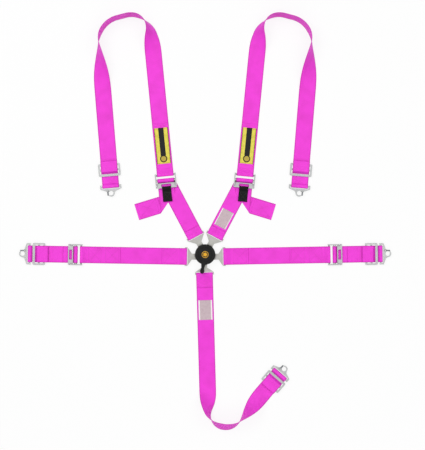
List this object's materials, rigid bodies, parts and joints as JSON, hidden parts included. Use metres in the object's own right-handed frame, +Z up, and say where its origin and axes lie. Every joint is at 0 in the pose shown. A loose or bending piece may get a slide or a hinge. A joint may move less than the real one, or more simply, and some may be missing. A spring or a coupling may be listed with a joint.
{
  "type": "racing harness",
  "caption": "Racing harness laid out flat: cam lock buckle, lap, shoulder and crotch straps with bar adjusters, slides and snap hooks.",
  "frame": {"origin": "centre of the buckle's flat underside", "axes": "+X to the right lap strap, +Y up the shoulder straps, +Z up from the surface it lies on"},
  "size_m": [1.1148, 1.2449, 0.05],
  "materials": {
    "pink_webbing": "woven polyester",
    "black_webbing": "woven polyester",
    "yellow_patch": "woven patch",
    "pale_label": "printed satin, left bare",
    "zinc_plate": "bright plated steel",
    "plain_steel": "turned steel",
    "black_enamel": "satin black",
    "gold_badge": "plain badge"
  },
  "bodies": {
    "buckle": {"buckle_base": "black_enamel", "buckle_housing": "black_enamel", "centre_pivot": "plain_steel", "base_screws": "plain_steel", "carrier_spring": "plain_steel"},
    "lever": {"release_lever": "black_enamel", "cam_disc": "plain_steel", "badge_disc": "gold_badge"},
    "pins": {"pin_carrier": "plain_steel"},
    "lap_right": {"lap_tongue_right": "zinc_plate", "lap_strap_right": "pink_webbing", "lap_anchor_right": "pink_webbing", "lap_slide_right": "zinc_plate"},
    "lap_adjuster_right": {"lap_adjuster_right": "zinc_plate", "lap_lock_bar_right": "zinc_plate", "lap_wrap_right": "pink_webbing"},
    "lap_hook_right": {"lap_hook_right": "zinc_plate"},
    "lap_gate_right": {"lap_gate_right": "zinc_plate"},
    "shoulder_right": {"shoulder_tongue_right": "zinc_plate", "shoulder_lower_right": "pink_webbing", "shoulder_upper_right": "pink_webbing", "shoulder_slide_right": "zinc_plate", "shoulder_patch_right": "yellow_patch", "shoulder_label": "pale_label"},
    "shoulder_adjuster_right": {"shoulder_adjuster_right": "zinc_plate", "shoulder_lock_bar_right": "zinc_plate", "shoulder_tail_right": "pink_webbing"},
    "release_tab_right": {"release_tab_right": "black_webbing"},
    "shoulder_hook_right": {"shoulder_hook_right": "zinc_plate"},
    "shoulder_gate_right": {"shoulder_gate_right": "zinc_plate"},
    "lap_left": {"lap_tongue_left": "zinc_plate", "lap_strap_left": "pink_webbing", "lap_anchor_left": "pink_webbing", "lap_slide_left": "zinc_plate"},
    "lap_adjuster_left": {"lap_adjuster_left": "zinc_plate", "lap_lock_bar_left": "zinc_plate", "lap_wrap_left": "pink_webbing"},
    "lap_hook_left": {"lap_hook_left": "zinc_plate"},
    "lap_gate_left": {"lap_gate_left": "zinc_plate"},
    "shoulder_left": {"shoulder_tongue_left": "zinc_plate", "shoulder_lower_left": "pink_webbing", "shoulder_upper_left": "pink_webbing", "shoulder_slide_left": "zinc_plate", "shoulder_patch_left": "yellow_patch"},
    "shoulder_adjuster_left": {"shoulder_adjuster_left": "zinc_plate", "shoulder_lock_bar_left": "zinc_plate", "shoulder_tail_left": "pink_webbing"},
    "release_tab_left": {"release_tab_left": "black_webbing"},
    "shoulder_hook_left": {"shoulder_hook_left": "zinc_plate"},
    "shoulder_gate_left": {"shoulder_gate_left": "zinc_plate"},
    "crotch": {"crotch_tongue": "zinc_plate", "crotch_strap": "pink_webbing", "crotch_slide": "zinc_plate", "crotch_label": "pale_label"},
    "crotch_hook": {"crotch_hook": "zinc_plate"},
    "crotch_gate": {"crotch_gate": "zinc_plate"}
  },
  "joints": [
    {"name": "lever_turn", "type": "hinge", "parent": "buckle", "child": "lever", "pos_m": [0, 0, 0.02], "axis": [0, 0, 1], "range_deg": [0, 35], "stiffness_Nm_per_rad": 0.15, "springref_deg": -11.46},
    {"name": "pin_lift", "type": "slide", "parent": "buckle", "child": "pins", "axis": [0, 0, 1], "range_m": [0, 0.0039], "deforming": ["carrier_spring"]},
    {"name": "lap_tongue_right_swivel", "type": "hinge", "parent": "buckle", "child": "lap_right", "pos_m": [0.019, -0.00717, 0.0057], "axis": [0, 0, 1], "range_deg": [-2, 2]},
    {"name": "lap_adjuster_right_tilt", "type": "hinge", "parent": "lap_right", "child": "lap_adjuster_right", "pos_m": [0.37144, -0.00102, 0.0045], "axis": [0.0175, -0.9998, 0], "range_deg": [0, 20]},
    {"name": "lap_hook_right_fold", "type": "hinge", "parent": "lap_right", "child": "lap_hook_right", "pos_m": [0.52592, 0.00168, 0.0045], "axis": [0.0175, -0.9998, 0], "range_deg": [0, 60]},
    {"name": "lap_gate_right_swing", "type": "hinge", "parent": "lap_hook_right", "child": "lap_gate_right", "pos_m": [0.53955, 0.01182, 0.0065], "axis": [0, 0, 1], "range_deg": [-20, 0], "stiffness_Nm_per_rad": 0.02, "springref_deg": 5.73},
    {"name": "shoulder_tongue_right_swivel", "type": "hinge", "parent": "buckle", "child": "shoulder_right", "pos_m": [0.00983, 0.01856, 0.0057], "axis": [0, 0, 1], "range_deg": [-2, 2]},
    {"name": "shoulder_adjuster_right_tilt", "type": "hinge", "parent": "shoulder_right", "child": "shoulder_adjuster_right", "pos_m": [0.11953, 0.2379, 0.0045], "axis": [-0.9952, 0.0978, 0], "range_deg": [0, 20]},
    {"name": "release_tab_right_swing", "type": "hinge", "parent": "shoulder_adjuster_right", "child": "release_tab_right", "pos_m": [0.11586, 0.20058, 0.00685], "axis": [-0.9952, 0.0978, 0], "range_deg": [0, 50]},
    {"name": "shoulder_hook_right_fold", "type": "hinge", "parent": "shoulder_right", "child": "shoulder_hook_right", "pos_m": [0.283, 0.20446, 0.0045], "axis": [-0.9966, 0.0821, 0], "range_deg": [0, 60]},
    {"name": "shoulder_gate_right_swing", "type": "hinge", "parent": "shoulder_hook_right", "child": "shoulder_gate_right", "pos_m": [0.29174, 0.1899, 0.0065], "axis": [0, 0, 1], "range_deg": [-20, 0], "stiffness_Nm_per_rad": 0.02, "springref_deg": 5.73},
    {"name": "lap_tongue_left_swivel", "type": "hinge", "parent": "buckle", "child": "lap_left", "pos_m": [-0.019, -0.00717, 0.0057], "axis": [0, 0, 1], "range_deg": [-2, 2]},
    {"name": "lap_adjuster_left_tilt", "type": "hinge", "parent": "lap_left", "child": "lap_adjuster_left", "pos_m": [-0.37144, -0.00102, 0.0045], "axis": [0.0175, 0.9998, 0], "range_deg": [0, 20]},
    {"name": "lap_hook_left_fold", "type": "hinge", "parent": "lap_left", "child": "lap_hook_left", "pos_m": [-0.52592, 0.00168, 0.0045], "axis": [0.0175, 0.9998, 0], "range_deg": [0, 60]},
    {"name": "lap_gate_left_swing", "type": "hinge", "parent": "lap_hook_left", "child": "lap_gate_left", "pos_m": [-0.53955, 0.01182, 0.0065], "axis": [0, 0, 1], "range_deg": [0, 20], "stiffness_Nm_per_rad": 0.02, "springref_deg": -5.73},
    {"name": "shoulder_tongue_left_swivel", "type": "hinge", "parent": "buckle", "child": "shoulder_left", "pos_m": [-0.00983, 0.01856, 0.0057], "axis": [0, 0, 1], "range_deg": [-2, 2]},
    {"name": "shoulder_adjuster_left_tilt", "type": "hinge", "parent": "shoulder_left", "child": "shoulder_adjuster_left", "pos_m": [-0.11953, 0.2379, 0.0045], "axis": [-0.9952, -0.0978, 0], "range_deg": [0, 20]},
    {"name": "release_tab_left_swing", "type": "hinge", "parent": "shoulder_adjuster_left", "child": "release_tab_left", "pos_m": [-0.11586, 0.20058, 0.00685], "axis": [-0.9952, -0.0978, 0], "range_deg": [0, 50]},
    {"name": "shoulder_hook_left_fold", "type": "hinge", "parent": "shoulder_left", "child": "shoulder_hook_left", "pos_m": [-0.283, 0.20446, 0.0045], "axis": [-0.9966, -0.0821, 0], "range_deg": [0, 60]},
    {"name": "shoulder_gate_left_swing", "type": "hinge", "parent": "shoulder_hook_left", "child": "shoulder_gate_left", "pos_m": [-0.29174, 0.1899, 0.0065], "axis": [0, 0, 1], "range_deg": [0, 20], "stiffness_Nm_per_rad": 0.02, "springref_deg": -5.73},
    {"name": "crotch_tongue_swivel", "type": "hinge", "parent": "buckle", "child": "crotch", "pos_m": [-0.00323, -0.02049, 0.0057], "axis": [0, 0, 1], "range_deg": [-2, 2]},
    {"name": "crotch_hook_fold", "type": "hinge", "parent": "crotch", "child": "crotch_hook", "pos_m": [0.22266, -0.35956, 0.0045], "axis": [0.7551, -0.6557, 0], "range_deg": [0, 60]},
    {"name": "crotch_gate_swing", "type": "hinge", "parent": "crotch_hook", "child": "crotch_gate", "pos_m": [0.22423, -0.34265, 0.0065], "axis": [0, 0, 1], "range_deg": [-20, 0], "stiffness_Nm_per_rad": 0.02, "springref_deg": 5.73}
  ],
  "couplings": [
    {"joint": "pin_lift", "follows": "lever_turn", "m_per_rad": 0.0062207}
  ]
}
